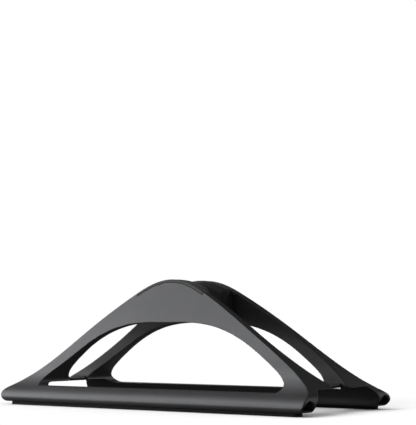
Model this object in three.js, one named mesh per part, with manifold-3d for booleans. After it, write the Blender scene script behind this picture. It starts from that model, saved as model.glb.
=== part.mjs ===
// Free-standing vertical stand for a closed laptop.
//
// Two mirror-image arch castings, one in front of the slot and one behind it,
// each with a wide arched window and a hollow rounded rail along the floor.
// A thin cross plate under each pair of legs joins the two castings and
// carries a soft channel pad on which the laptop's long edge rests. A soft
// liner hangs over the crown of each arch and holds the laptop upright.
//
// Frame: millimetres, +Z up, origin on the floor at the centre of the stand.
// +X runs along the slot, +Y towards the rear casting.

import * as THREE from 'three';
import { mergeVertices } from 'three/addons/utils/BufferGeometryUtils.js';
import Module from 'manifold-3d';

// ---------------------------------------------------------------- dimensions
const HALF_LENGTH = 133.0;        // tip of a rail to the centre
const HALF_DEPTH = 58.0;          // nose of a rail to the centre
const HEIGHT = 91.0;              // crown of the arches
const RAIL_UNDERSIDE = 2.3;       // clearance of the castings over the floor
const WINDOW_SILL = 13.9;         // lower edge of the arched windows
const FOOT_UNDERSIDE = 16.3;      // underside of the flared feet of the legs
const INNER_TOP_Y = 15.9;         // inner face of the crown at HEIGHT
const INNER_BEND_Y = 21.3;        // inner face where it starts to flare
const INNER_BEND_Z = 50.0;

const CAP_HALF = 30.3;            // half length of the liner's cap along X
const CAP_DEPTH = 2.2;            // depth of the cap below the crown outline
const FIT = 0.15;                 // clearance between a liner and its casting

const SLOT_HALF = 7.8;            // liner face to the centre of the slot
const LINER_BOTTOM = 61.6;
const LINER_HALF = 25.6;          // half length of the liner's pad along X
const LINER_ROUND = 4.6;          // rounding of the liner towards the slot
const LINER_CORNER = 6.5;         // lower corners of the liner

const PLATE_X = [107.5, 120.5];   // cross plate, right-hand one
const PLATE_HALF_Y = 31.0;
const PLATE_T = 1.0;
const PAD_T = 0.7;                // floor of the channel pad
const PAD_HALF_Y = 10.1;
const PAD_LIP_T = 1.4;
const PAD_LIP_TOP = 19.6;

const SCREW_X = 114.0;
const SCREW_Y = [17.5, 27.0];
const SCREW_HEAD_R = 2.8;         // countersunk, flush with the cross plate
const SCREW_NECK_R = 1.5;
const SCREW_SHANK_R = 1.45;
const SCREW_LENGTH = 6.0;
const SCREW_HOLE_R = 1.65;
const SCREW_SOCKET_R = 1.1;

const STRIP_HALF_X = 125.6;       // rubber foot strips
const STRIP_Y = [45.2, 54.0];
const STRIP_SEAT = 0.6;           // depth of the strip's seat in the rail

// Outer face of a casting, (distance from the slot's centre plane, height),
// from the crown down to the floor rail's underside.
const OUTER = [
  [22.1, 91.6], [24.1, 79.7], [25.4, 72.6], [26.7, 65.7], [27.8, 58.8],
  [28.7, 52.1], [29.5, 45.5], [30.35, 39.0], [31.0, 35.7], [31.8, 32.6],
  [32.9, 29.4], [34.3, 26.3], [36.15, 23.2], [38.8, 20.1], [41.0, 18.1],
  [42.6, 16.9], [44.45, 15.7], [46.6, 14.5], [49.0, 13.4], [51.75, 12.3],
  [54.1, 11.1], [55.6, 10.0], [56.75, 8.8], [57.55, 7.6], [57.95, 6.4],
  [58.0, 5.6], [57.6, 4.3], [56.9, 3.5], [55.9, 2.8], [54.6, RAIL_UNDERSIDE],
];
// Inner face, from the rail's underside up to the crown.
const INNER = [
  [41.8, RAIL_UNDERSIDE], [41.2, 3.0], [41.0, 4.5], [40.9, 7.0], [40.4, 9.0],
  [39.2, 11.0], [37.6, 12.7], [35.7, 14.2], [33.5, 15.35], [31.4, 16.05],
  [29.6, FOOT_UNDERSIDE], [10.8, FOOT_UNDERSIDE], [10.5, 16.6],
  [10.5, 18.2], [11.2, 19.6], [12.5, 21.3], [14.2, 23.4], [15.7, 25.6],
  [17.05, 28.1], [18.3, 31.0], [19.3, 34.2], [20.2, 38.0], [20.85, 42.0],
  [21.25, 46.0], [INNER_BEND_Y, INNER_BEND_Z],
];
// Hollow of the floor rail, open at both ends.
const RAIL_HOLLOW = [
  [42.7, 3.9], [56.0, 3.9], [56.3, 4.8], [55.8, 6.2], [54.5, 7.6], [52.8, 8.8],
  [50.6, 9.8], [48.4, 9.9], [46.3, 9.0], [44.3, 6.6],
];
// Front outline of a casting, right-hand half, crown to underside.
const OUTLINE = [
  [0.0, 91.0], [3.0, 90.9], [6.0, 90.6], [9.0, 90.1], [12.0, 89.3],
  [15.0, 88.3], [18.0, 87.2], [21.0, 85.9], [24.0, 84.5], [27.0, 82.95],
  [30.0, 81.3], [33.4, 79.4], [39.2, 75.9], [44.8, 72.5], [50.3, 69.1],
  [55.7, 65.7], [60.9, 62.3], [70.8, 55.6], [80.6, 48.9], [90.1, 42.3],
  [99.5, 35.8], [108.8, 29.4], [113.3, 26.3], [117.8, 23.2], [122.4, 20.0],
  [126.4, 17.3], [129.4, 15.2], [131.4, 13.3], [132.5, 11.6], [133.0, 9.8],
  [132.9, 7.8], [132.1, 6.0], [130.9, 4.4], [129.5, 3.1], [128.2, RAIL_UNDERSIDE],
];
// Window through a casting, right-hand half, top to sill.
const WINDOW = [
  [0.0, 60.3], [14.0, 60.3], [22.0, 60.2], [30.0, 59.5], [37.7, 58.3],
  [46.9, 56.0], [55.7, 52.9], [64.8, 48.6], [73.5, 43.6], [82.4, 37.7],
  [92.6, 30.7], [98.4, 26.6], [102.6, 23.3], [104.9, 21.0], [106.1, 19.0],
  [106.4, 17.3], [105.7, 15.8], [104.3, 14.6], [102.2, WINDOW_SILL],
];

// ------------------------------------------------------------------- solids
const wasm = await Module();
wasm.setup();

function toSolid(geometry) {
  const g = geometry.clone();
  g.deleteAttribute('normal');
  g.deleteAttribute('uv');
  const m = mergeVertices(g, 1e-4);
  return new wasm.Manifold(new wasm.Mesh({
    numProp: 3,
    vertProperties: new Float32Array(m.attributes.position.array),
    triVerts: new Uint32Array(m.index.array),
  }));
}

function toGeometry(solid) {
  const mesh = solid.getMesh();
  const g = new THREE.BufferGeometry();
  g.setAttribute('position', new THREE.BufferAttribute(new Float32Array(mesh.vertProperties), 3));
  g.setIndex(new THREE.BufferAttribute(new Uint32Array(mesh.triVerts), 1));
  g.computeVertexNormals();
  return g;
}

function shapeOf(points, holes = []) {
  const s = new THREE.Shape(points.map(([a, b]) => new THREE.Vector2(a, b)));
  for (const h of holes) s.holes.push(new THREE.Path(h.map(([a, b]) => new THREE.Vector2(a, b))));
  return s;
}

const flat = (depth) => ({ depth, bevelEnabled: false, steps: 1, curveSegments: 12 });

// (y, z) section run along X from x0 to x1
function alongX(points, x0, x1, holes = []) {
  const g = new THREE.ExtrudeGeometry(shapeOf(points, holes), flat(x1 - x0));
  g.applyMatrix4(new THREE.Matrix4().makeBasis(
    new THREE.Vector3(0, 1, 0), new THREE.Vector3(0, 0, 1), new THREE.Vector3(1, 0, 0)));
  g.translate(x0, 0, 0);
  return toSolid(g);
}

// (x, z) outline run along Y from y0 to y1
function alongY(points, y0, y1) {
  const g = new THREE.ExtrudeGeometry(shapeOf(points), flat(y1 - y0));
  g.applyMatrix4(new THREE.Matrix4().makeBasis(
    new THREE.Vector3(1, 0, 0), new THREE.Vector3(0, 0, 1), new THREE.Vector3(0, -1, 0)));
  g.translate(0, y1, 0);
  return toSolid(g);
}

// (x, y) outline run along Z from z0 to z1
function alongZ(points, z0, z1) {
  const g = new THREE.ExtrudeGeometry(shapeOf(points), flat(z1 - z0));
  g.translate(0, 0, z0);
  return toSolid(g);
}

function rod(x, y, z0, z1, r, sides = 24) {
  const g = new THREE.CylinderGeometry(r, r, z1 - z0, sides, 1);
  g.rotateX(Math.PI / 2);
  g.translate(x, y, (z0 + z1) / 2);
  return toSolid(g);
}

// rounded rectangle in two dimensions, as points
function roundRect(a0, a1, b0, b1, r, n = 6) {
  const pts = [];
  const corner = (ca, cb, start) => {
    for (let i = 0; i <= n; i++) {
      const t = start + (Math.PI / 2) * (i / n);
      pts.push([ca + r * Math.cos(t), cb + r * Math.sin(t)]);
    }
  };
  corner(a1 - r, b0 + r, -Math.PI / 2);
  corner(a1 - r, b1 - r, 0);
  corner(a0 + r, b1 - r, Math.PI / 2);
  corner(a0 + r, b0 + r, Math.PI);
  return pts;
}

const bothHalves = (half) => [
  ...half,
  ...half.slice().reverse().filter(([x]) => x > 1e-6).map(([x, z]) => [-x, z]),
];

// the same solid on the other side of the slot
function mirrorY(geometry) {
  const g = geometry.clone();
  const p = g.attributes.position;
  for (let i = 0; i < p.count; i++) p.setY(i, -p.getY(i));
  const idx = g.index.array;
  for (let i = 0; i < idx.length; i += 3) { const t = idx[i + 1]; idx[i + 1] = idx[i + 2]; idx[i + 2] = t; }
  g.computeVertexNormals();
  return g;
}
function mirrorX(geometry) {
  const g = geometry.clone();
  const p = g.attributes.position;
  for (let i = 0; i < p.count; i++) p.setX(i, -p.getX(i));
  const idx = g.index.array;
  for (let i = 0; i < idx.length; i += 3) { const t = idx[i + 1]; idx[i + 1] = idx[i + 2]; idx[i + 2] = t; }
  g.computeVertexNormals();
  return g;
}

// ------------------------------------------------- outlines along the crown
// crown outline up to CAP_HALF, and the same curve sunk by d along its normal
const innerY = (z) => INNER_BEND_Y - (z - INNER_BEND_Z) * (INNER_BEND_Y - INNER_TOP_Y) / (HEIGHT - INNER_BEND_Z);
const outerY = (z) => OUTER[0][0] + (OUTER[0][1] - z) * (OUTER[1][0] - OUTER[0][0]) / (OUTER[0][1] - OUTER[1][1]);

function crownCurve() {
  const pts = [];
  for (const [x, z] of OUTLINE) {
    if (x < CAP_HALF - 1e-6) pts.push([x, z]);
    else break;
  }
  const k = pts.length;
  const [xa, za] = OUTLINE[k - 1];
  const [xb, zb] = OUTLINE[k];
  const t = (CAP_HALF - xa) / (xb - xa);
  pts.push([CAP_HALF, za + t * (zb - za)]);
  return pts;
}
function sink(pts, d) {
  return pts.map(([x, z], i) => {
    const [x0, z0] = i === 0 ? [-pts[1][0], pts[1][1]] : pts[i - 1];
    const [x1, z1] = i === pts.length - 1 ? pts[i] : pts[i + 1];
    const l = Math.hypot(x1 - x0, z1 - z0);
    return [x + d * (z1 - z0) / l, z - d * (x1 - x0) / l];
  });
}
function rise(pts, d) { return sink(pts, -d); }

const crown = crownCurve();
const sunk = sink(crown, CAP_DEPTH);
// notch in the casting: from the sunk curve up past the crown
const notchHalf = [...sunk, ...[...rise(crown, 3.0)].reverse()];
const notchRight = notchHalf;

// --------------------------------------------------------------- castings
const section = [
  ...OUTER.map(([d, z]) => [-d, z]),
  ...INNER.map(([d, z]) => [-d, z]),
  [-innerY(91.6), 91.6],
];
const hollow = RAIL_HOLLOW.map(([d, z]) => [-d, z]);
const outline = bothHalves(OUTLINE);
const windowOutline = bothHalves(WINDOW);

let casting = alongX(section, -HALF_LENGTH - 1, HALF_LENGTH + 1, [hollow])
  .intersect(alongY(outline, -HALF_DEPTH - 2, -5))
  .subtract(alongY(windowOutline, -HALF_DEPTH - 2, -5));
// seat for the liner's cap
const notch = alongY(bothHalvesOpen(notchRight), -40, -5);
casting = casting.subtract(notch);

function bothHalvesOpen(half) {
  // the half polygon has a run along the centre line at both ends
  const n = half.length / 2;
  const low = half.slice(0, n);
  const high = half.slice(n);
  const mir = (a) => a.filter(([x]) => x > 1e-6).map(([x, z]) => [-x, z]);
  // low runs centre -> right, high runs right -> centre
  return [...low, ...high, ...mir(high).reverse(), ...mir(low).reverse()];
}

// seat for the cross plates under the flared feet
for (const s of [1, -1]) {
  const x0 = s > 0 ? PLATE_X[0] - FIT : -PLATE_X[1] - FIT;
  const x1 = s > 0 ? PLATE_X[1] + FIT : -PLATE_X[0] + FIT;
  casting = casting.subtract(alongZ(
    roundRect(x0, x1, -PLATE_HALF_Y - FIT, 0, 2.6), FOOT_UNDERSIDE - 1.5, FOOT_UNDERSIDE + PLATE_T));
  // blind tapped holes
  for (const y of SCREW_Y) {
    casting = casting.subtract(rod(s * SCREW_X, -y, FOOT_UNDERSIDE - 0.5, FOOT_UNDERSIDE + SCREW_LENGTH + 0.7, SCREW_HOLE_R));
  }
}
// seat for the rubber foot strip
casting = casting.subtract(alongZ(
  roundRect(-STRIP_HALF_X - FIT, STRIP_HALF_X + FIT, -STRIP_Y[1] - FIT, -STRIP_Y[0] + FIT, 3.0),
  RAIL_UNDERSIDE - 1.0, RAIL_UNDERSIDE + STRIP_SEAT));

const castingGeometry = toGeometry(casting);

// ----------------------------------------------------------------- liners
// pad between the casting's inner face and the laptop: a little shorter than
// the cap, rounded all round where it meets the slot
const padHalf = [
  ...crown.filter(([x]) => x < LINER_HALF - 4.0),
  [LINER_HALF, 83.6],
];
for (let i = 0; i <= 6; i++) {
  const t = (Math.PI / 2) * (i / 6);
  padHalf.push([
    LINER_HALF - LINER_CORNER + LINER_CORNER * Math.cos(t),
    LINER_BOTTOM + LINER_CORNER - LINER_CORNER * Math.sin(t)]);
}
const padOutline = [...padHalf, ...padHalf.slice(1).reverse().map(([x, z]) => [-x, z])];
const padDepth = 22.0;
const padExtrude = new THREE.ExtrudeGeometry(shapeOf(padOutline), {
  depth: padDepth - 2 * LINER_ROUND, steps: 1, bevelEnabled: true, bevelThickness: LINER_ROUND,
  bevelSize: LINER_ROUND, bevelOffset: -LINER_ROUND, bevelSegments: 5,
});
padExtrude.applyMatrix4(new THREE.Matrix4().makeBasis(
  new THREE.Vector3(1, 0, 0), new THREE.Vector3(0, 0, 1), new THREE.Vector3(0, -1, 0)));
// the extrusion runs from -LINER_ROUND to padDepth - LINER_ROUND behind its plane
padExtrude.translate(0, -SLOT_HALF - LINER_ROUND, 0);
const padKeep = [
  [-(innerY(LINER_BOTTOM - 2) - FIT), LINER_BOTTOM - 2], [-5, LINER_BOTTOM - 2],
  [-5, 92.5], [-(innerY(92.5) - FIT), 92.5],
];
const pad = toSolid(padExtrude).intersect(alongX(padKeep, -CAP_HALF - 5, CAP_HALF + 5));

// cap over the crown, flush with the casting's outer face
const capLow = sink(crown, CAP_DEPTH - FIT);
const trim = (pts, d) => {
  // shorten the open end by d along the curve
  const [x1, z1] = pts[pts.length - 1];
  const [x0, z0] = pts[pts.length - 2];
  const l = Math.hypot(x1 - x0, z1 - z0);
  return [...pts.slice(0, -1), [x1 - d * (x1 - x0) / l, z1 - d * (z1 - z0) / l]];
};
const capHalf = [...trim(capLow, FIT), ...[...trim(crown, FIT)].reverse()];
const capSection = [
  [-outerY(91.6), 91.6], [-outerY(76.0), 76.0], [-(innerY(76.0) - 1.5), 76.0], [-(innerY(91.6) - 1.5), 91.6],
];
const cap = alongX(capSection, -CAP_HALF - 1, CAP_HALF + 1)
  .intersect(alongY(bothHalvesOpen(capHalf), -30, -5));
const liner = pad.add(cap);
const linerGeometry = toGeometry(liner);

// ----------------------------------------------------------- cross plates
// conical seat from the plate's underside up to its top face
function countersink(x, y) {
  const run = PLATE_T;
  const slope = (SCREW_HEAD_R - SCREW_NECK_R) / run;
  const cone = new THREE.LatheGeometry([
    new THREE.Vector2(0, -0.5), new THREE.Vector2(SCREW_HEAD_R + FIT + 0.5 * slope, -0.5),
    new THREE.Vector2(SCREW_NECK_R + FIT, run), new THREE.Vector2(0, run)], 24);
  cone.rotateX(Math.PI / 2);
  cone.translate(x, y, FOOT_UNDERSIDE);
  return toSolid(cone);
}
let plate = alongZ(
  roundRect(PLATE_X[0], PLATE_X[1], -PLATE_HALF_Y, PLATE_HALF_Y, 2.5),
  FOOT_UNDERSIDE, FOOT_UNDERSIDE + PLATE_T);
for (const y of [...SCREW_Y, ...SCREW_Y.map((v) => -v)]) {
  plate = plate.subtract(rod(SCREW_X, y, FOOT_UNDERSIDE - 1, FOOT_UNDERSIDE + PLATE_T + 1, SCREW_HOLE_R));
  plate = plate.subtract(countersink(SCREW_X, y));
}
const plateGeometry = toGeometry(plate);

// channel pad: a thin floor with a low lip along each side
const padFloor = FOOT_UNDERSIDE + PLATE_T;
const channel = [
  [-PAD_HALF_Y, padFloor], [PAD_HALF_Y, padFloor],
  [PAD_HALF_Y, PAD_LIP_TOP - 0.4], [PAD_HALF_Y - 0.4, PAD_LIP_TOP],
  [PAD_HALF_Y - PAD_LIP_T + 0.3, PAD_LIP_TOP], [PAD_HALF_Y - PAD_LIP_T, PAD_LIP_TOP - 0.5],
  [PAD_HALF_Y - PAD_LIP_T - 0.2, padFloor + PAD_T + 0.3],
  [PAD_HALF_Y - PAD_LIP_T - 0.6, padFloor + PAD_T],
  [-PAD_HALF_Y + PAD_LIP_T + 0.6, padFloor + PAD_T],
  [-PAD_HALF_Y + PAD_LIP_T + 0.2, padFloor + PAD_T + 0.3],
  [-PAD_HALF_Y + PAD_LIP_T, PAD_LIP_TOP - 0.5], [-PAD_HALF_Y + PAD_LIP_T - 0.3, PAD_LIP_TOP],
  [-PAD_HALF_Y + 0.4, PAD_LIP_TOP], [-PAD_HALF_Y, PAD_LIP_TOP - 0.4],
];
const restPad = alongX(channel, PLATE_X[0], PLATE_X[1]);
const restPadGeometry = toGeometry(restPad);

// ------------------------------------------------------------------ screws
const seatZ = FOOT_UNDERSIDE;
const hexagon = Array.from({ length: 6 }, (_, i) => [
  SCREW_SOCKET_R * Math.cos(i * Math.PI / 3), SCREW_SOCKET_R * Math.sin(i * Math.PI / 3)]);
const headProfile = [
  new THREE.Vector2(0, seatZ),
  new THREE.Vector2(SCREW_HEAD_R, seatZ),
  new THREE.Vector2(SCREW_NECK_R, seatZ + PLATE_T),
  new THREE.Vector2(SCREW_SHANK_R, seatZ + PLATE_T + 0.1),
  new THREE.Vector2(SCREW_SHANK_R, seatZ + SCREW_LENGTH - 0.5),
  new THREE.Vector2(SCREW_SHANK_R - 0.5, seatZ + SCREW_LENGTH),
  new THREE.Vector2(0, seatZ + SCREW_LENGTH),
];
const latheScrew = new THREE.LatheGeometry(headProfile, 24);
latheScrew.rotateX(Math.PI / 2);          // lathe axis Y -> Z
const socket = alongZ(hexagon, seatZ - 1, seatZ + 0.65);
const screwGeometry = toGeometry(toSolid(latheScrew).subtract(socket));

// -------------------------------------------------------------- foot strips
const stripGeometry = toGeometry(alongZ(
  roundRect(-STRIP_HALF_X, STRIP_HALF_X, -STRIP_Y[1], -STRIP_Y[0], 2.9),
  0, RAIL_UNDERSIDE + STRIP_SEAT));

// ---------------------------------------------------------------- materials
const paint = () => new THREE.MeshStandardMaterial({ color: 0x3f4043, roughness: 0.42, metalness: 0.6 });
const silicone = () => new THREE.MeshStandardMaterial({ color: 0x2f3032, roughness: 0.85, metalness: 0.0 });
const rubber = () => new THREE.MeshStandardMaterial({ color: 0x0e0e0f, roughness: 0.9, metalness: 0.0 });
const blackSteel = () => new THREE.MeshStandardMaterial({ color: 0x17181a, roughness: 0.4, metalness: 0.9 });

// ----------------------------------------------------------------- assembly
const stand = new THREE.Group();
stand.name = 'vertical_laptop_stand';
function put(parent, name, geometry, material, position) {
  const m = new THREE.Mesh(geometry, material);
  m.name = name;
  if (position) m.position.set(...position);
  parent.add(m);
  return m;
}
put(stand, 'front_arch', castingGeometry, paint());
put(stand, 'rear_arch', mirrorY(castingGeometry), paint());
put(stand, 'front_liner', linerGeometry, silicone());
put(stand, 'rear_liner', mirrorY(linerGeometry), silicone());
put(stand, 'right_cross_plate', plateGeometry, blackSteel());
put(stand, 'left_cross_plate', mirrorX(plateGeometry), blackSteel());
put(stand, 'right_rest_pad', restPadGeometry, silicone());
put(stand, 'left_rest_pad', mirrorX(restPadGeometry), silicone());
put(stand, 'front_foot_strip', stripGeometry, rubber());
put(stand, 'rear_foot_strip', mirrorY(stripGeometry), rubber());
for (const [side, s] of [['right', 1], ['left', -1]]) {
  for (const [row, r] of [['front', -1], ['rear', 1]]) {
    put(stand, `${side}_${row}_inner_screw`, screwGeometry, blackSteel(), [s * SCREW_X, r * SCREW_Y[0], 0]);
    put(stand, `${side}_${row}_outer_screw`, screwGeometry, blackSteel(), [s * SCREW_X, r * SCREW_Y[1], 0]);
  }
}

export default stand;
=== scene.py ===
# Vertical laptop stand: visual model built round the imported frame.
import math
import bpy
import bmesh
import numpy as np
from mathutils import Vector, Matrix


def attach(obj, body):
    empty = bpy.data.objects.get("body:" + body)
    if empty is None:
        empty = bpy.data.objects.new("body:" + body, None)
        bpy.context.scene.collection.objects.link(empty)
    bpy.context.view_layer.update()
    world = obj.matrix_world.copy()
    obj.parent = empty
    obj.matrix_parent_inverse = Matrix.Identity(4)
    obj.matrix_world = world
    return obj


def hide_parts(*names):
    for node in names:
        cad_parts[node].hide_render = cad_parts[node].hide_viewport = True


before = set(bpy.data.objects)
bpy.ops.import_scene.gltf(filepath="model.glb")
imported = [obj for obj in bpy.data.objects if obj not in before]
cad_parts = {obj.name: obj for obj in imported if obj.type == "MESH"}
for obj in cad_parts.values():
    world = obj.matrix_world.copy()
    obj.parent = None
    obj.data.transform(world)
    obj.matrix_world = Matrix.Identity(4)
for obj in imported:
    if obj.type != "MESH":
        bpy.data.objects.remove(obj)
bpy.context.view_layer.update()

MM = 0.001
scene = bpy.context.scene

# ---------------------------------------------------------------- sizes, mm
FOOT_UNDER = 16.3
PLATE_X = (107.5, 120.5)
PLATE_HALF_Y = 31.0
PLATE_T = 1.0
CAP_HALF = 30.3
CAP_DEPTH = 2.2
LINER_HALF = 25.6
LINER_BOTTOM = 61.6
SLOT_HALF = 7.8
STRIP_HALF_X = 125.6
STRIP_Y = (45.2, 54.0)
STRIP_TOP = 2.9
SCREW_X = 114.0
SCREW_Y = (17.5, 27.0)


# ------------------------------------------------------------ smooth curves
def bspline(coef, knots, n):
    """Clamped cubic B-spline, sampled n times."""
    c = np.array(coef, float)
    t = np.array(knots, float)
    k = 3
    u = np.linspace(t[0], t[-1] - 1e-9, n)
    out = np.zeros((n, 2))
    for a, x in enumerate(u):
        i = int(np.searchsorted(t, x, side="right") - 1)
        i = min(max(i, k), len(c) - 1)
        d = [c[j + i - k].copy() for j in range(k + 1)]
        for r in range(1, k + 1):
            for j in range(k, r - 1, -1):
                den = t[j + 1 + i - r] - t[j + i - k]
                al = (x - t[j + i - k]) / den if den else 0.0
                d[j] = (1 - al) * d[j - 1] + al * d[j]
        out[a] = d[k]
    return out


OUTER = bspline(
    [[22.10, 91.60], [23.97, 79.23], [27.83, 62.25], [29.80, 41.47], [32.01, 30.55], [36.08, 22.73], [41.54, 17.31],
     [47.29, 13.96], [52.56, 12.10], [56.20, 9.76], [58.28, 6.73], [57.65, 3.50], [55.80, 2.30], [54.60, 2.30]],
    [0.0, 0.0, 0.0, 0.0, 37.53, 52.12, 62.55, 70.89, 78.18, 85.48, 90.69, 94.86, 98.51, 101.12, 104.24, 104.24, 104.24, 104.24], 240)
WALL = bspline(
    [[41.80, 2.30], [41.35, 2.30], [40.90, 4.00], [41.18, 7.50], [39.40, 11.08], [36.50, 13.77], [33.20, 15.63], [30.83, 16.30], [29.60, 16.30]],
    [0.0, 0.0, 0.0, 0.0, 1.65, 5.15, 9.27, 13.39, 16.89, 20.60, 20.60, 20.60, 20.60], 60)
FLARE = bspline(
    [[10.50, 16.60], [10.48, 17.38], [10.65, 19.21], [12.84, 21.60], [15.48, 25.06], [18.37, 30.41], [20.01, 36.94],
     [21.25, 43.63], [21.30, 51.42], [18.88, 67.38], [17.25, 81.30], [15.82, 91.60]],
    [0.0, 0.0, 0.0, 0.0, 2.34, 5.46, 9.36, 15.59, 23.39, 29.62, 35.86, 46.78, 77.96, 77.96, 77.96, 77.96], 180)
OUTLINE = bspline(
    [[0.0, 90.99], [5.58, 90.99], [16.65, 88.60], [30.44, 81.12], [52.07, 68.39], [78.85, 50.19], [105.38, 31.70],
     [121.70, 20.46], [128.66, 15.66], [132.70, 11.82], [132.70, 7.20], [130.55, 4.10], [129.00, 2.30], [127.60, 2.30]],
    [0.0, 0.0, 0.0, 0.0, 16.74, 33.47, 46.86, 92.06, 130.55, 143.94, 151.47, 156.49, 160.68, 164.03, 167.37, 167.37, 167.37, 167.37], 330)
WINDOW = bspline(
    [[0.0, 60.25], [8.35, 60.25], [22.99, 60.72], [45.79, 57.17], [67.16, 48.30], [84.67, 36.10], [97.43, 27.40],
     [104.20, 22.20], [107.10, 17.74], [105.20, 14.60], [103.40, 13.90], [101.60, 13.90]],
    [0.0, 0.0, 0.0, 0.0, 25.05, 43.84, 68.89, 93.94, 107.72, 115.23, 119.62, 122.75, 125.25, 125.25, 125.25, 125.25], 260)
HOLLOW = bspline(
    [[55.99, 3.90], [56.33, 4.48], [56.03, 6.24], [53.68, 8.34], [49.68, 10.72], [45.47, 8.78], [43.94, 5.78], [43.00, 4.49], [42.70, 3.90]],
    [0.0, 0.0, 0.0, 0.0, 1.96, 4.90, 9.80, 14.69, 17.63, 19.59, 19.59, 19.59, 19.59], 70)


def both(half):
    h = np.array(half)
    m = h[::-1].copy()
    m[:, 0] *= -1
    keep = m[:, 0] < -1e-6
    return np.vstack([h, m[keep]])


def tidy(p, eps=0.02):
    keep = [p[0]]
    for q in p[1:]:
        if np.hypot(*(q - keep[-1])) > eps:
            keep.append(q)
    return np.array(keep)


SECTION = tidy(np.vstack([OUTER, WALL, [[10.9, FOOT_UNDER], [10.5, 16.6]], FLARE]))


# -------------------------------------------------- signed distance in a plane
class Plane2D:
    """Signed distance to a closed polygon, kept on a grid and read with cubic interpolation."""

    def __init__(self, poly, lo, hi, h):
        self.lo = np.array(lo, float)
        self.h = h
        n = np.ceil((np.array(hi) - self.lo) / h).astype(int) + 1
        a = self.lo[0] + np.arange(n[0]) * h
        b = self.lo[1] + np.arange(n[1]) * h
        A, B = np.meshgrid(a, b, indexing="ij")
        pts = np.stack([A.ravel(), B.ravel()], 1)
        v = np.asarray(poly, float)
        w = np.roll(v, -1, axis=0)
        ba = w - v
        l2 = np.maximum((ba ** 2).sum(1), 1e-12)
        out = np.empty(len(pts))
        for s in range(0, len(pts), 3000):
            p = pts[s:s + 3000]
            px = p[:, 0:1] - v[None, :, 0]
            py = p[:, 1:2] - v[None, :, 1]
            t = np.clip((px * ba[None, :, 0] + py * ba[None, :, 1]) / l2[None], 0, 1)
            dx = px - t * ba[None, :, 0]
            dy = py - t * ba[None, :, 1]
            d = np.sqrt((dx * dx + dy * dy).min(1))
            up = (v[None, :, 1] > p[:, 1:2]) != (w[None, :, 1] > p[:, 1:2])
            with np.errstate(divide="ignore", invalid="ignore"):
                xc = v[None, :, 0] + (p[:, 1:2] - v[None, :, 1]) * ba[None, :, 0] / np.where(ba[None, :, 1] == 0, 1e-12, ba[None, :, 1])
            inside = (up & (p[:, 0:1] < xc)).sum(1) % 2 == 1
            out[s:s + 3000] = np.where(inside, -d, d)
        self.g = out.reshape(A.shape)

    def __call__(self, a, b):
        u = (a - self.lo[0]) / self.h
        v = (b - self.lo[1]) / self.h
        n0, n1 = self.g.shape
        i = np.clip(np.floor(u).astype(int), 1, n0 - 3)
        j = np.clip(np.floor(v).astype(int), 1, n1 - 3)
        fu = np.clip(u - i, -1, 2)
        fv = np.clip(v - j, -1, 2)

        def wts(t):
            return (-0.5 * t + t * t - 0.5 * t ** 3, 1 - 2.5 * t * t + 1.5 * t ** 3,
                    0.5 * t + 2 * t * t - 1.5 * t ** 3, -0.5 * t * t + 0.5 * t ** 3)
        wu, wv = wts(fu), wts(fv)
        r = 0.0
        for p in range(4):
            row = 0.0
            for q in range(4):
                row = row + wv[q] * self.g[i + p - 1, j + q - 1]
            r = r + wu[p] * row
        return r


def inter(a, b, r):
    """Intersection of two solids with a fillet of radius r along their edge."""
    u = np.maximum(a + r, 0)
    v = np.maximum(b + r, 0)
    return np.minimum(np.maximum(a, b), -r) + np.sqrt(u * u + v * v)


def union(a, b, r):
    return -inter(-a, -b, r)


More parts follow.
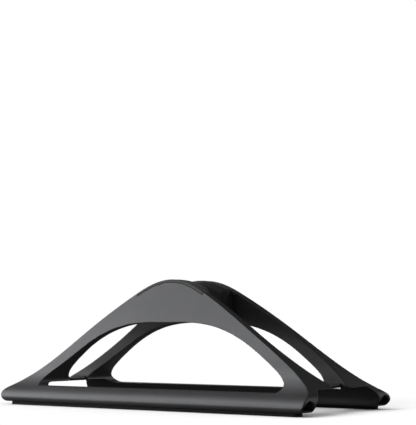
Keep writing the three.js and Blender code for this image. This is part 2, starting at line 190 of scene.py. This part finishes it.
# -------------------------------------------------------- solid from a field
def nets(field, lo, hi, h, rounds=3):
    """Closed quad mesh of field < 0, its vertices moved onto the surface itself."""
    lo = np.array(lo, float)
    n = np.ceil((np.array(hi) - lo) / h).astype(int) + 1
    ax = [lo[k] + np.arange(n[k]) * h for k in range(3)]
    F = field(ax[0][:, None, None], ax[1][None, :, None], ax[2][None, None, :], grid=True)
    F = np.where(np.abs(F) < 1e-6, 1e-6, F)
    S = F < 0
    cnt = np.zeros([k - 1 for k in F.shape], np.int8)
    corners = [(a, b, c) for a in (0, 1) for b in (0, 1) for c in (0, 1)]
    for a, b, c in corners:
        cnt += S[a:F.shape[0] - 1 + a, b:F.shape[1] - 1 + b, c:F.shape[2] - 1 + c]
    ijk = np.argwhere((cnt > 0) & (cnt < 8))
    idx = -np.ones(cnt.shape, int)
    idx[tuple(ijk.T)] = np.arange(len(ijk))
    acc = np.zeros((len(ijk), 3))
    num = np.zeros((len(ijk), 1))
    for a in corners:
        for k in range(3):
            if a[k]:
                continue
            b = list(a)
            b[k] = 1
            fa = F[ijk[:, 0] + a[0], ijk[:, 1] + a[1], ijk[:, 2] + a[2]]
            fb = F[ijk[:, 0] + b[0], ijk[:, 1] + b[1], ijk[:, 2] + b[2]]
            cr = (fa < 0) != (fb < 0)
            t = np.where(cr, fa / np.where(cr, fa - fb, 1), 0)
            p = np.array(a, float)[None] + np.outer(t, np.eye(3)[k])
            acc += np.where(cr[:, None], p, 0)
            num += cr[:, None]
    P = lo + (ijk + acc / num) * h
    quads = []
    for k in range(3):
        m = [slice(None)] * 3
        q = [slice(None)] * 3
        m[k] = slice(0, -1)
        q[k] = slice(1, None)
        A, B = S[tuple(m)], S[tuple(q)]
        e = np.argwhere(A != B)
        u, v = [(1, 2), (2, 0), (0, 1)][k]
        good = (e[:, u] > 0) & (e[:, v] > 0) & (e[:, u] < F.shape[u] - 1) & (e[:, v] < F.shape[v] - 1)
        e = e[good]
        out = A[tuple(e.T)]
        ring = []
        for du, dv in ((-1, -1), (0, -1), (0, 0), (-1, 0)):
            c = e.copy()
            c[:, u] += du
            c[:, v] += dv
            ring.append(idx[tuple(c.T)])
        ring = np.stack(ring, 1)
        ring[~out] = ring[~out][:, ::-1]
        quads.append(ring)
    Q = np.vstack(quads)

    def value(p):
        return field(p[:, 0], p[:, 1], p[:, 2], grid=False)

    def slope(p, f0, e=0.04):
        g = np.empty_like(p)
        for k in range(3):
            s = p.copy()
            s[:, k] += e
            g[:, k] = (value(s) - f0) / e
        return g

    def settle(p, times):
        for _ in range(times):
            f0 = value(p)
            g = slope(p, f0)
            step = -f0[:, None] * g / np.maximum((g * g).sum(1, keepdims=True), 0.2)
            l = np.sqrt((step * step).sum(1, keepdims=True))
            p = p + step * np.minimum(1, 0.6 * h / np.maximum(l, 1e-9))
        return p, g

    P, g = settle(P, 2)
    ea = np.concatenate([Q[:, 0], Q[:, 1], Q[:, 2], Q[:, 3]])
    eb = np.concatenate([Q[:, 1], Q[:, 2], Q[:, 3], Q[:, 0]])
    deg = np.bincount(ea, minlength=len(P)) + np.bincount(eb, minlength=len(P))
    for _ in range(rounds):
        avg = np.stack([(np.bincount(ea, P[eb, k], len(P)) + np.bincount(eb, P[ea, k], len(P))) / deg for k in range(3)], 1)
        nrm = g / np.maximum(np.linalg.norm(g, axis=1, keepdims=True), 1e-9)
        d = avg - P
        d -= (d * nrm).sum(1, keepdims=True) * nrm
        P, g = settle(P + 0.5 * d, 1)
    P, g = settle(P, 2)
    f0 = value(P)
    e = 0.06
    N = np.empty_like(P)
    for k in range(3):
        a, b = P.copy(), P.copy()
        a[:, k] -= e
        b[:, k] += e
        N[:, k] = value(b) - value(a)
    N /= np.maximum(np.linalg.norm(N, axis=1, keepdims=True), 1e-9)
    return P, Q, N


def solid_object(name, P, Q, N=None, mirror_y=False, mirror_x=False):
    P = P.copy()
    Q = Q.copy()
    N = None if N is None else N.copy()
    for flag, k in ((mirror_x, 0), (mirror_y, 1)):
        if flag:
            P[:, k] *= -1
            Q = Q[:, ::-1]
            if N is not None:
                N[:, k] *= -1
    me = bpy.data.meshes.new(name)
    me.vertices.add(len(P))
    me.vertices.foreach_set("co", (P * MM).astype(np.float32).ravel())
    me.loops.add(Q.size)
    me.loops.foreach_set("vertex_index", Q.astype(np.int32).ravel())
    me.polygons.add(len(Q))
    me.polygons.foreach_set("loop_start", (np.arange(len(Q)) * Q.shape[1]).astype(np.int32))
    me.polygons.foreach_set("loop_total", np.full(len(Q), Q.shape[1], np.int32))
    me.polygons.foreach_set("use_smooth", np.ones(len(Q), bool))
    me.update()
    me.validate()
    if N is not None and len(me.vertices) == len(N):
        me.normals_split_custom_set_from_vertices([tuple(v) for v in N.astype(float)])
    ob = bpy.data.objects.new(name, me)
    scene.collection.objects.link(ob)
    return ob


# ---------------------------------------------------------------- the arches
sec = Plane2D(SECTION, (8.0, 0.3), (61.0, 94.0), 0.4)          # (distance, height)
hol = Plane2D(HOLLOW, (40.5, 1.6), (58.5, 12.5), 0.25)
out = Plane2D(both(OUTLINE), (-2.0, 0.3), (136.5, 94.0), 0.5)    # (|x|, height)
win = Plane2D(both(WINDOW), (-2.0, 0.5), (135.0, 94.0), 0.5)

k_end = int(np.argmin(np.abs(OUTLINE[:, 0] - CAP_HALF)))
END_P = OUTLINE[k_end]
END_T = OUTLINE[k_end + 2] - OUTLINE[k_end - 2]
END_T = END_T / np.hypot(*END_T)
R_OUT, R_WIN = 0.45, 0.35


def lookup(fn, a, b, grid, shape_a, shape_b):
    """A plane field on a 3-D grid is read once in its plane and then spread."""
    if not grid:
        return fn(a, b)
    A = a.reshape(-1)
    B = b.reshape(-1)
    g = fn(*np.meshgrid(A, B, indexing="ij"))
    return g.reshape([max(p, q) for p, q in zip(shape_a, shape_b)])


def arch_field(x, y, z, grid):
    d = -y
    ax = np.abs(x)
    S = lookup(sec, d, z, grid, getattr(d, "shape", ()), getattr(z, "shape", ()))
    O = lookup(out, ax, z, grid, getattr(ax, "shape", ()), getattr(z, "shape", ()))
    W = lookup(win, ax, z, grid, getattr(ax, "shape", ()), getattr(z, "shape", ()))
    H = lookup(hol, np.clip(d, 40.8, 58.2), np.clip(z, 1.9, 12.2), grid, getattr(d, "shape", ()), getattr(z, "shape", ()))
    far = np.maximum(np.abs(d - 49.5) - 8.6, np.abs(z - 7.05) - 5.1)
    H = np.where(far > 0, np.maximum(H, far + 1.0), H)
    f = inter(S, O, R_OUT)
    f = inter(f, -W, R_WIN)
    f = inter(f, -H, 0.35)
    # seat of the liner's cap
    s_end = (ax - END_P[0]) * END_T[0] + (z - END_P[1]) * END_T[1]
    notch = np.maximum(np.maximum(-CAP_DEPTH - O, s_end), 70.0 - z)
    f = inter(f, -notch, 0.12)
    # seats of the cross plates
    sx = np.abs(ax - 114.0) - 6.65
    sy = d - (PLATE_HALF_Y + 0.25)
    seat = np.maximum(np.maximum(inter(sx, sy, 2.5), z - (FOOT_UNDER + PLATE_T)), 12.0 - z)
    f = inter(f, -seat, 0.15)
    return f


H_ARCH = 0.6
P, Q, N = nets(arch_field, (-134.4, -59.6, 1.2), (134.4, -9.0, 92.4), H_ARCH)
front_arch = solid_object("front_arch_casting", P, Q, N)
rear_arch = solid_object("rear_arch_casting", P, Q, N, mirror_y=True)

# --------------------------------------------------------------- the liners
PAD_OUTLINE = [tuple(p) for p in OUTLINE if p[0] < LINER_HALF - 1.2]
PAD_OUTLINE += [(LINER_HALF, float(np.interp(LINER_HALF - 1.0, OUTLINE[:200, 0], OUTLINE[:200, 1])) - 1.2)]
for i in range(9):
    t = math.pi / 2 * i / 8
    PAD_OUTLINE.append((LINER_HALF - 6.5 + 6.5 * math.cos(t), LINER_BOTTOM + 6.5 - 6.5 * math.sin(t)))
PAD_OUTLINE.append((0.0, LINER_BOTTOM))
pad2 = Plane2D(both(PAD_OUTLINE), (-2.0, 58.0), (33.0, 94.0), 0.4)


def liner_field(x, y, z, grid):
    d = -y
    ax = np.abs(x)
    S = lookup(sec, d, z, grid, getattr(d, "shape", ()), getattr(z, "shape", ()))
    O = lookup(out, ax, z, grid, getattr(ax, "shape", ()), getattr(z, "shape", ()))
    Pd = lookup(pad2, np.clip(ax, 0, 32.5), np.clip(z, 58.5, 93.5), grid, getattr(ax, "shape", ()), getattr(z, "shape", ()))
    inner = 21.3 - (z - 50.0) * 0.1317            # casting's inner face
    # cap over the crown
    s_end = (ax - END_P[0]) * END_T[0] + (z - END_P[1]) * END_T[1] + 0.07
    band = inter(-(CAP_DEPTH - 0.07) - O, s_end, 0.2)
    thick = np.maximum(S, -100.0)
    inside_ext = np.maximum(d - 40.0, (inner - 1.4) - d)          # from the inner face 1.4 mm on
    outer_only = np.minimum(S, np.maximum(np.abs(d - inner) - 1.4, z - 93.0))
    cap = inter(inter(outer_only, O, R_OUT), band, 0.12)
    cap = np.maximum(cap, 70.0 - z)
    cap = np.maximum(cap, inside_ext)
    # pad towards the laptop
    pad = inter(Pd, SLOT_HALF - d, 4.4)
    pad = inter(pad, (d - (inner - 0.15)) * 0.991, 0.3)
    return union(cap, pad, 0.35)


H_LINER = 0.4
P, Q, N = nets(liner_field, (-31.2, -26.0, 59.6), (31.2, -6.4, 93.2), H_LINER)
front_liner = solid_object("front_liner_silicone", P, Q, N)
rear_liner = solid_object("rear_liner_silicone", P, Q, N, mirror_y=True)


# ---------------------------------------------------- solids made of rings
def rounded(x0, x1, y0, y1, r, n=10):
    pts = []
    for cx, cy, s in ((x1 - r, y0 + r, -0.5), (x1 - r, y1 - r, 0.0), (x0 + r, y1 - r, 0.5), (x0 + r, y0 + r, 1.0)):
        for i in range(n + 1):
            t = math.pi * (s + 0.5 * i / n)
            pts.append((cx + r * math.cos(t), cy + r * math.sin(t)))
    return pts


def rings_object(name, rings, cap_first=True, cap_last=True, smooth_angle=35.0):
    """Closed solid through rings of equal length, listed from the top down."""
    bm = bmesh.new()
    loops = [[bm.verts.new((x * MM, y * MM, z * MM)) for x, y, z in ring] for ring in rings]
    n = len(loops[0])
    for a, b in zip(loops, loops[1:]):
        if len(b) == 1:
            for i in range(n):
                bm.faces.new((a[i], b[0], a[(i + 1) % n]))
            continue
        for i in range(n):
            j = (i + 1) % n
            bm.faces.new((a[i], b[i], b[j], a[j]))
    if cap_first and len(loops[0]) > 1:
        bm.faces.new(loops[0])
    if cap_last and len(loops[-1]) > 1:
        bm.faces.new(loops[-1][::-1])
    bmesh.ops.recalc_face_normals(bm, faces=bm.faces)
    me = bpy.data.meshes.new(name)
    bm.to_mesh(me)
    bm.free()
    for p in me.polygons:
        p.use_smooth = True
    me.set_sharp_from_angle(angle=math.radians(smooth_angle))
    ob = bpy.data.objects.new(name, me)
    scene.collection.objects.link(ob)
    return ob


# foot strips: a rubber strip with a rolled lower edge and a grip groove
def foot_strip(name, side):
    def ring(inset, z):
        pts = rounded(-STRIP_HALF_X + inset, STRIP_HALF_X - inset, STRIP_Y[0] + inset, STRIP_Y[1] - inset, max(2.9 - inset, 0.25), 8)
        return [(x, side * y, z) for x, y in pts]
    rings = [ring(0.0, STRIP_TOP), ring(0.0, 1.9), ring(0.0, 0.55)]
    for i in range(1, 6):
        t = math.pi / 2 * i / 5
        rings.append(ring(0.5 - 0.5 * math.cos(t), 0.55 - 0.52 * math.sin(t)))
    rings += [ring(0.9, 0.0), ring(2.05, 0.0), ring(2.15, 0.08), ring(2.25, 0.45), ring(2.75, 0.45), ring(2.85, 0.08), ring(2.95, 0.0)]
    return rings_object(name, rings)


front_strip = foot_strip("front_foot_rubber", -1)
rear_strip = foot_strip("rear_foot_rubber", 1)


# cross plates: steel strip with eased edges and countersunk holes from below
def plate_field(x, y, z, grid):
    cx = 0.5 * (PLATE_X[0] + PLATE_X[1])
    hx, hy, r = 0.5 * (PLATE_X[1] - PLATE_X[0]), PLATE_HALF_Y, 2.5
    qx = np.abs(x - cx) - (hx - r)
    qy = np.abs(y) - (hy - r)
    edge = np.sqrt(np.maximum(qx, 0) ** 2 + np.maximum(qy, 0) ** 2) + np.minimum(np.maximum(qx, qy), 0) - r
    f = inter(edge, np.abs(z - (FOOT_UNDER + 0.5 * PLATE_T)) - 0.5 * PLATE_T, 0.16)
    ay = np.abs(y)
    for sy in SCREW_Y:
        rr = np.sqrt((x - cx) ** 2 + (ay - sy) ** 2)
        cone = (2.86 - 1.3 * (z - FOOT_UNDER) - rr) * 0.61
        f = inter(f, np.maximum(cone, 1.6 - rr), 0.06)
    return f


P, Q, N = nets(plate_field, (PLATE_X[0] - 0.6, -PLATE_HALF_Y - 0.6, FOOT_UNDER - 0.5),
               (PLATE_X[1] + 0.6, PLATE_HALF_Y + 0.6, FOOT_UNDER + PLATE_T + 0.5), 0.26)
right_plate = solid_object("right_cross_plate_steel", P, Q, N)
left_plate = solid_object("left_cross_plate_steel", P, Q, N, mirror_x=True)


# channel pads: soft floor with a rounded lip along both sides
def rest_pad(name, side):
    zf = FOOT_UNDER + PLATE_T
    half = [(0.0, zf), (9.9, zf), (10.05, zf + 0.06), (10.1, zf + 0.2), (10.1, 18.9)]
    for i in range(1, 8):
        t = math.pi * i / 8
        half.append((9.4 + 0.7 * math.cos(t), 18.9 + 0.7 * math.sin(t)))
    half += [(8.7, 18.9), (8.66, 18.6)]
    for i in range(0, 6):
        t = math.pi / 2 * i / 5
        half.append((8.6 - 0.5 + 0.5 * math.cos(t), 18.5 - 0.5 * math.sin(t)))
    half += [(0.0, 18.0)]
    half = np.array(half)
    left = half[1:-1][::-1].copy()
    left[:, 0] *= -1
    loop = np.vstack([half, left])

    centre = loop.mean(0)
    nxt = np.roll(loop, -1, axis=0)
    prv = np.roll(loop, 1, axis=0)
    tan = nxt - prv
    nrm = np.stack([tan[:, 1], -tan[:, 0]], 1)
    nrm /= np.maximum(np.hypot(nrm[:, 0], nrm[:, 1])[:, None], 1e-9)

    def ring(x, inset):
        q = loop - nrm * inset
        return [(side * x, float(a), float(b)) for a, b in q]
    x0, x1 = PLATE_X
    xs = [(x0, 0.18), (x0 + 0.05, 0.06), (x0 + 0.2, 0.0)]
    xs += [(x0 + 0.2 + (x1 - x0 - 0.4) * i / 6, 0.0) for i in range(1, 6)]
    xs += [(x1 - 0.2, 0.0), (x1 - 0.05, 0.06), (x1, 0.18)]
    return rings_object(name, [ring(x, i) for x, i in xs], smooth_angle=60)


right_pad = rest_pad("right_rest_pad_silicone", 1)
left_pad = rest_pad("left_rest_pad_silicone", -1)


# countersunk screws with a hexagon socket
def screw(name, x, y, turn):
    n = 48

    def circle(r, z):
        return [(x + r * math.cos(2 * math.pi * i / n), y + r * math.sin(2 * math.pi * i / n), z) for i in range(n)]

    def hexagon(ap, z):
        pts = []
        for i in range(n):
            a = 2 * math.pi * i / n
            b = (a + turn) % (math.pi / 3) - math.pi / 6
            r = ap / math.cos(b)
            pts.append((x + r * math.cos(a), y + r * math.sin(a), z))
        return pts
    zb = FOOT_UNDER
    rings = [circle(0.9, zb + 6.0), circle(1.2, zb + 5.7)]
    z = zb + 5.4
    while z > zb + 1.4:
        rings += [circle(1.45, z), circle(1.45, z - 0.08), circle(1.22, z - 0.25), circle(1.22, z - 0.3)]
        z -= 0.5
    rings += [circle(1.45, zb + 1.15), circle(1.5, zb + 1.0), circle(2.68, zb + 0.09), circle(2.76, zb + 0.02), circle(2.72, zb),
              circle(1.5, zb), hexagon(1.12, zb), hexagon(1.0, zb + 0.08), hexagon(1.0, zb + 0.62), [(x, y, zb + 0.75)]]
    return rings_object(name, rings, cap_last=False, smooth_angle=38)


screws = {}
for side, s in (("right", 1), ("left", -1)):
    for row, r in (("front", -1), ("rear", 1)):
        for k, (which, yy) in enumerate((("inner", SCREW_Y[0]), ("outer", SCREW_Y[1]))):
            node = f"{side}_{row}_{which}_screw"
            screws[node] = screw(node + "_m3", s * SCREW_X, r * yy, 0.35 * k + 0.2 * s + 0.5 * r)


# ----------------------------------------------------------------- materials
def new_material(name):
    m = bpy.data.materials.new(name)
    m.use_nodes = True
    nt = m.node_tree
    for nd in list(nt.nodes):
        nt.nodes.remove(nd)
    outn = nt.nodes.new("ShaderNodeOutputMaterial")
    bsdf = nt.nodes.new("ShaderNodeBsdfPrincipled")
    nt.links.new(bsdf.outputs["BSDF"], outn.inputs["Surface"])
    return m, nt, bsdf


def noise(nt, coord, scale, detail=3.0, rough=0.55, distort=0.0):
    n = nt.nodes.new("ShaderNodeTexNoise")
    n.inputs["Scale"].default_value = scale
    n.inputs["Detail"].default_value = detail
    n.inputs["Roughness"].default_value = rough
    n.inputs["Distortion"].default_value = distort
    nt.links.new(coord, n.inputs["Vector"])
    return n


def remap(nt, value, a, b, lo, hi):
    m = nt.nodes.new("ShaderNodeMapRange")
    m.inputs["From Min"].default_value = a
    m.inputs["From Max"].default_value = b
    m.inputs["To Min"].default_value = lo
    m.inputs["To Max"].default_value = hi
    nt.links.new(value, m.inputs["Value"])
    return m.outputs["Result"]


def math_node(nt, op, a, b):
    m = nt.nodes.new("ShaderNodeMath")
    m.operation = op
    for i, v in enumerate((a, b)):
        if isinstance(v, (int, float)):
            m.inputs[i].default_value = v
        else:
            nt.links.new(v, m.inputs[i])
    return m.outputs[0]


def coating():
    m, nt, b = new_material("charcoal_powder_coat")
    co = nt.nodes.new("ShaderNodeTexCoord").outputs["Object"]
    grain = noise(nt, co, 2600.0, 2.0, 0.6)
    patch_noise = noise(nt, co, 420.0, 2.0, 0.5)
    cloud = noise(nt, co, 22.0, 4.0, 0.6)
    mix = nt.nodes.new("ShaderNodeMix")
    mix.data_type = "RGBA"
    mix.inputs["A"].default_value = (0.079, 0.080, 0.083, 1)
    mix.inputs["B"].default_value = (0.093, 0.094, 0.098, 1)
    nt.links.new(remap(nt, cloud.outputs["Fac"], 0.3, 0.7, 0.0, 1.0), mix.inputs["Factor"])
    # painted highlight: convex edges (Pointiness) get a lighter tint in noisy patches, standing in for the bright line
    # light draws along the fillets
    geo = nt.nodes.new("ShaderNodeNewGeometry")
    edge = remap(nt, geo.outputs["Pointiness"], 0.53, 0.60, 0.0, 1.0)
    edge_highlight = math_node(nt, "MULTIPLY", edge, remap(nt, patch_noise.outputs["Fac"], 0.35, 0.75, 0.1, 0.55))
    edge_highlight_mix = nt.nodes.new("ShaderNodeMix")
    edge_highlight_mix.data_type = "RGBA"
    edge_highlight_mix.inputs["B"].default_value = (0.17, 0.172, 0.178, 1)
    nt.links.new(mix.outputs["Result"], edge_highlight_mix.inputs["A"])
    nt.links.new(edge_highlight, edge_highlight_mix.inputs["Factor"])
    nt.links.new(edge_highlight_mix.outputs["Result"], b.inputs["Base Color"])
    b.inputs["Metallic"].default_value = 0.55
    rough = remap(nt, grain.outputs["Fac"], 0.3, 0.7, 0.42, 0.50)
    nt.links.new(math_node(nt, "ADD", rough, remap(nt, cloud.outputs["Fac"], 0.3, 0.7, -0.02, 0.02)), b.inputs["Roughness"])
    bump = nt.nodes.new("ShaderNodeBump")
    bump.inputs["Strength"].default_value = 0.10
    bump.inputs["Distance"].default_value = 0.00012
    h = math_node(nt, "ADD", math_node(nt, "MULTIPLY", grain.outputs["Fac"], 0.7), math_node(nt, "MULTIPLY", patch_noise.outputs["Fac"], 0.6))
    nt.links.new(h, bump.inputs["Height"])
    nt.links.new(bump.outputs["Normal"], b.inputs["Normal"])
    return m


def soft(name, base, light, rough, grain_scale=1500.0, bump_strength=0.12):
    m, nt, b = new_material(name)
    co = nt.nodes.new("ShaderNodeTexCoord").outputs["Object"]
    g = noise(nt, co, grain_scale, 3.0, 0.6)
    c = noise(nt, co, 60.0, 4.0, 0.6)
    mix = nt.nodes.new("ShaderNodeMix")
    mix.data_type = "RGBA"
    mix.inputs["A"].default_value = (*base, 1)
    mix.inputs["B"].default_value = (*light, 1)
    nt.links.new(remap(nt, c.outputs["Fac"], 0.35, 0.7, 0.0, 1.0), mix.inputs["Factor"])
    nt.links.new(mix.outputs["Result"], b.inputs["Base Color"])
    nt.links.new(remap(nt, g.outputs["Fac"], 0.3, 0.7, rough - 0.05, rough + 0.06), b.inputs["Roughness"])
    b.inputs["Specular IOR Level"].default_value = 0.4
    b.inputs["Sheen Weight"].default_value = 0.08
    b.inputs["Sheen Roughness"].default_value = 0.5
    bump = nt.nodes.new("ShaderNodeBump")
    bump.inputs["Strength"].default_value = bump_strength
    bump.inputs["Distance"].default_value = 0.0001
    nt.links.new(g.outputs["Fac"], bump.inputs["Height"])
    nt.links.new(bump.outputs["Normal"], b.inputs["Normal"])
    return m


def steel(name, stretch):
    m, nt, b = new_material(name)
    co = nt.nodes.new("ShaderNodeTexCoord").outputs["Object"]
    mp = nt.nodes.new("ShaderNodeMapping")
    mp.inputs["Scale"].default_value = stretch
    nt.links.new(co, mp.inputs["Vector"])
    g = noise(nt, mp.outputs["Vector"], 900.0, 3.0, 0.6)
    c = noise(nt, co, 130.0, 3.0, 0.6)
    mix = nt.nodes.new("ShaderNodeMix")
    mix.data_type = "RGBA"
    mix.inputs["A"].default_value = (0.028, 0.028, 0.030, 1)
    mix.inputs["B"].default_value = (0.050, 0.050, 0.053, 1)
    nt.links.new(remap(nt, c.outputs["Fac"], 0.35, 0.7, 0.0, 1.0), mix.inputs["Factor"])
    nt.links.new(mix.outputs["Result"], b.inputs["Base Color"])
    b.inputs["Metallic"].default_value = 0.9
    nt.links.new(remap(nt, g.outputs["Fac"], 0.3, 0.7, 0.3, 0.45), b.inputs["Roughness"])
    bump = nt.nodes.new("ShaderNodeBump")
    bump.inputs["Strength"].default_value = 0.15
    bump.inputs["Distance"].default_value = 0.00005
    nt.links.new(g.outputs["Fac"], bump.inputs["Height"])
    nt.links.new(bump.outputs["Normal"], b.inputs["Normal"])
    return m


M_COAT = coating()
M_SIL = soft("dark_silicone", (0.036, 0.037, 0.038), (0.046, 0.047, 0.049), 0.62)
M_REST = soft("black_silicone", (0.010, 0.010, 0.011), (0.016, 0.016, 0.017), 0.68)
# black rubber whose base colour is darkened further as painted shade under the rail's overhang
M_RUB_SHADED = soft("black_rubber_painted_shade", (0.004, 0.004, 0.004), (0.008, 0.008, 0.008), 0.80, 900.0, 0.2)
M_STEEL = steel("black_oxide_steel", (1.0, 0.06, 1.0))
M_SCREW = steel("black_oxide_screw", (1.0, 1.0, 1.0))

for ob, mat, slot, node, body in (
    (front_arch, M_COAT, "arch_coating", "front_arch", "base"),
    (rear_arch, M_COAT, "arch_coating", "rear_arch", "base"),
    (front_liner, M_SIL, "silicone", "front_liner", "front_liner"),
    (rear_liner, M_SIL, "silicone", "rear_liner", "rear_liner"),
    (right_plate, M_STEEL, "dark_steel", "right_cross_plate", "base"),
    (left_plate, M_STEEL, "dark_steel", "left_cross_plate", "base"),
    (right_pad, M_REST, "rest_silicone", "right_rest_pad", "base"),
    (left_pad, M_REST, "rest_silicone", "left_rest_pad", "base"),
    (front_strip, M_RUB_SHADED, "foot_rubber", "front_foot_strip", "base"),
    (rear_strip, M_RUB_SHADED, "foot_rubber", "rear_foot_strip", "base"),
    *((ob, M_SCREW, "dark_steel", node, "base") for node, ob in screws.items()),
):
    ob.data.materials.clear()
    ob.data.materials.append(mat)
    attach(ob, body)
    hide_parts(node)

# -------------------------------------------------------------------- camera
cam_data = bpy.data.cameras.new("camera")
cam = bpy.data.objects.new("camera", cam_data)
scene.collection.objects.link(cam)
cam_data.sensor_width = 36.0
cam_data.lens = 114.35
cam_data.clip_start = 0.05
cam_data.clip_end = 60.0
right = Vector((0.80905, 0.58774, 0.0))
up = Vector((0.04967, -0.06837, 0.99642))
back = right.cross(up)
cam.matrix_world = Matrix((
    (right.x, up.x, back.x, 0.5875),
    (right.y, up.y, back.y, -0.7859),
    (right.z, up.z, back.z, 0.05715),
    (0, 0, 0, 1)))
scene.camera = cam

# --------------------------------------------------------------------- floor
bm = bmesh.new()
ring_r = [0.0, 0.3, 0.6, 1.2, 2.5, 5.0, 12.0, 30.0]
prev = None
for r in ring_r[1:]:
    loop = [bm.verts.new((r * math.cos(2 * math.pi * i / 64), r * math.sin(2 * math.pi * i / 64), 0.0)) for i in range(64)]
    if prev is None:
        bm.faces.new(loop)
    else:
        for i in range(64):
            bm.faces.new((prev[i], loop[i], loop[(i + 1) % 64], prev[(i + 1) % 64]))
    prev = loop
fm = bpy.data.meshes.new("studio_floor")
bm.to_mesh(fm)
bm.free()
floor = bpy.data.objects.new("studio_floor", fm)
scene.collection.objects.link(floor)
m, nt, b = new_material("pale_floor")
co = nt.nodes.new("ShaderNodeTexCoord").outputs["Object"]
n = noise(nt, co, 6.0, 3.0, 0.5)
mix = nt.nodes.new("ShaderNodeMix")
mix.data_type = "RGBA"
mix.inputs["A"].default_value = (0.80, 0.80, 0.80, 1)
mix.inputs["B"].default_value = (0.82, 0.82, 0.82, 1)
nt.links.new(n.outputs["Fac"], mix.inputs["Factor"])
nt.links.new(mix.outputs["Result"], b.inputs["Base Color"])
b.inputs["Roughness"].default_value = 0.9
b.inputs["Specular IOR Level"].default_value = 0.1
fm.materials.append(m)
floor.visible_diffuse = False
floor.visible_glossy = False

# -------------------------------------------------------------------- lights
world = bpy.data.worlds.new("studio")
scene.world = world
world.use_nodes = True
wt = world.node_tree
for nd in list(wt.nodes):
    wt.nodes.remove(nd)
wo = wt.nodes.new("ShaderNodeOutputWorld")
lp = wt.nodes.new("ShaderNodeLightPath")
sky = wt.nodes.new("ShaderNodeBackground")
sky.inputs["Color"].default_value = (1, 1, 1, 1)
sky.inputs["Strength"].default_value = 1.0
env = wt.nodes.new("ShaderNodeBackground")
env.inputs["Color"].default_value = (1, 1, 1, 1)
env.inputs["Strength"].default_value = 0.042
mx = wt.nodes.new("ShaderNodeMixShader")
wt.links.new(lp.outputs["Is Camera Ray"], mx.inputs["Fac"])
wt.links.new(env.outputs[0], mx.inputs[1])
wt.links.new(sky.outputs[0], mx.inputs[2])
wt.links.new(mx.outputs[0], wo.inputs["Surface"])


def area(name, where, at, size, power, size_y=None):
    ld = bpy.data.lights.new(name, "AREA")
    ld.shape = "RECTANGLE"
    ld.size = size
    ld.size_y = size_y or size
    ld.energy = power
    ob = bpy.data.objects.new(name, ld)
    scene.collection.objects.link(ob)
    ob.location = where
    ob.rotation_mode = "QUATERNION"
    ob.rotation_quaternion = (Vector(at) - Vector(where)).to_track_quat("-Z", "Y")
    ob.visible_camera = False
    return ob


def group(name, obs):
    col = bpy.data.collections.new(name)
    for ob in obs:
        col.objects.link(ob)
    return col


near_set = [front_arch, front_liner, right_plate, left_plate, right_pad, left_pad, front_strip, *screws.values()]
far_set = [rear_arch, rear_liner, rear_strip]
lit_object = group("lit_object", near_set + far_set)
lit_near = group("lit_near", near_set)
lit_far = group("lit_far", far_set)
floor_only = group("lit_floor", [floor])


def polar(dist, az, el, centre=0.04):
    a, e = math.radians(az), math.radians(el)
    return Vector((dist * math.cos(e) * math.cos(a), dist * math.cos(e) * math.sin(a), centre + dist * math.sin(e)))


# soft boxes round the front left: distance, azimuth, elevation, weight
BOXES = (
    (0.42, 210, 6, 0.73), (0.42, 226, 6, 0.30), (0.62, 240, 8, 0.70), (0.62, 262, 8, 1.01),
    (0.62, 262, 26, 0.20), (0.62, 220, 66, 0.12), (1.00, 200, 26, 0.88), (1.00, 200, 46, 0.40),
    (1.00, 220, 26, 0.09), (1.00, 220, 46, 0.16), (1.00, 240, 46, 0.97), (1.00, 180, 46, 0.09),
    (1.00, 180, 66, 0.24),
)


# low ones behind, for the faces turned away from the front
BACK_BOXES = ((1.00, 98, 5, 3.6), (1.00, 168, 8, 1.8))
BACK_HIGH = ((1.00, 160, 32, 1.4),)


def key_lights(name, share, receivers, boxes=BOXES):
    for i, (dist, az, el, weight) in enumerate(boxes):
        tall = 0.36 if az > 175 or el > 10 else 0.20
        ob = area(f"{name}_{i:02d}", polar(dist, az, el), (0, 0, 0.04), 0.36 * dist, 2.0 * dist * dist * weight * share, tall * dist)
        ob.light_linking.receiver_collection = receivers


key_lights("key", 1.0, lit_near)
key_lights("key_far", 0.3, lit_far)
key_lights("back", 1.0, lit_far, BACK_BOXES)
key_lights("back_near", 0.25, lit_near, BACK_BOXES)
key_lights("back_high", 1.0, lit_far, BACK_HIGH)
side = area("side", (1.25, 1.70, 0.40), (0, 0, 0.03), 1.3, 4.4, 1.2)
side.light_linking.receiver_collection = lit_object
fill = area("fill", polar(1.1, -26, 7), (0, 0, 0.03), 0.5, 0.7)
fill.light_linking.receiver_collection = lit_object


def floor_light(name, power, angle, az, el):
    ld = bpy.data.lights.new(name, "SUN")
    ld.energy = power
    ld.angle = math.radians(angle)
    ob = bpy.data.objects.new(name, ld)
    scene.collection.objects.link(ob)
    ob.rotation_mode = "QUATERNION"
    ob.rotation_quaternion = (-polar(1.0, az, el, 0.0)).to_track_quat("-Z", "Y")
    ob.light_linking.receiver_collection = floor_only


floor_light("floor_sky", 2.25, 160.0, 0.0, 90.0)
floor_light("floor_key", 3.0, 40.0, 248.0, 34.0)

scene.view_settings.view_transform = "Standard"
scene.view_settings.look = "None"

bpy.context.view_layer.update()
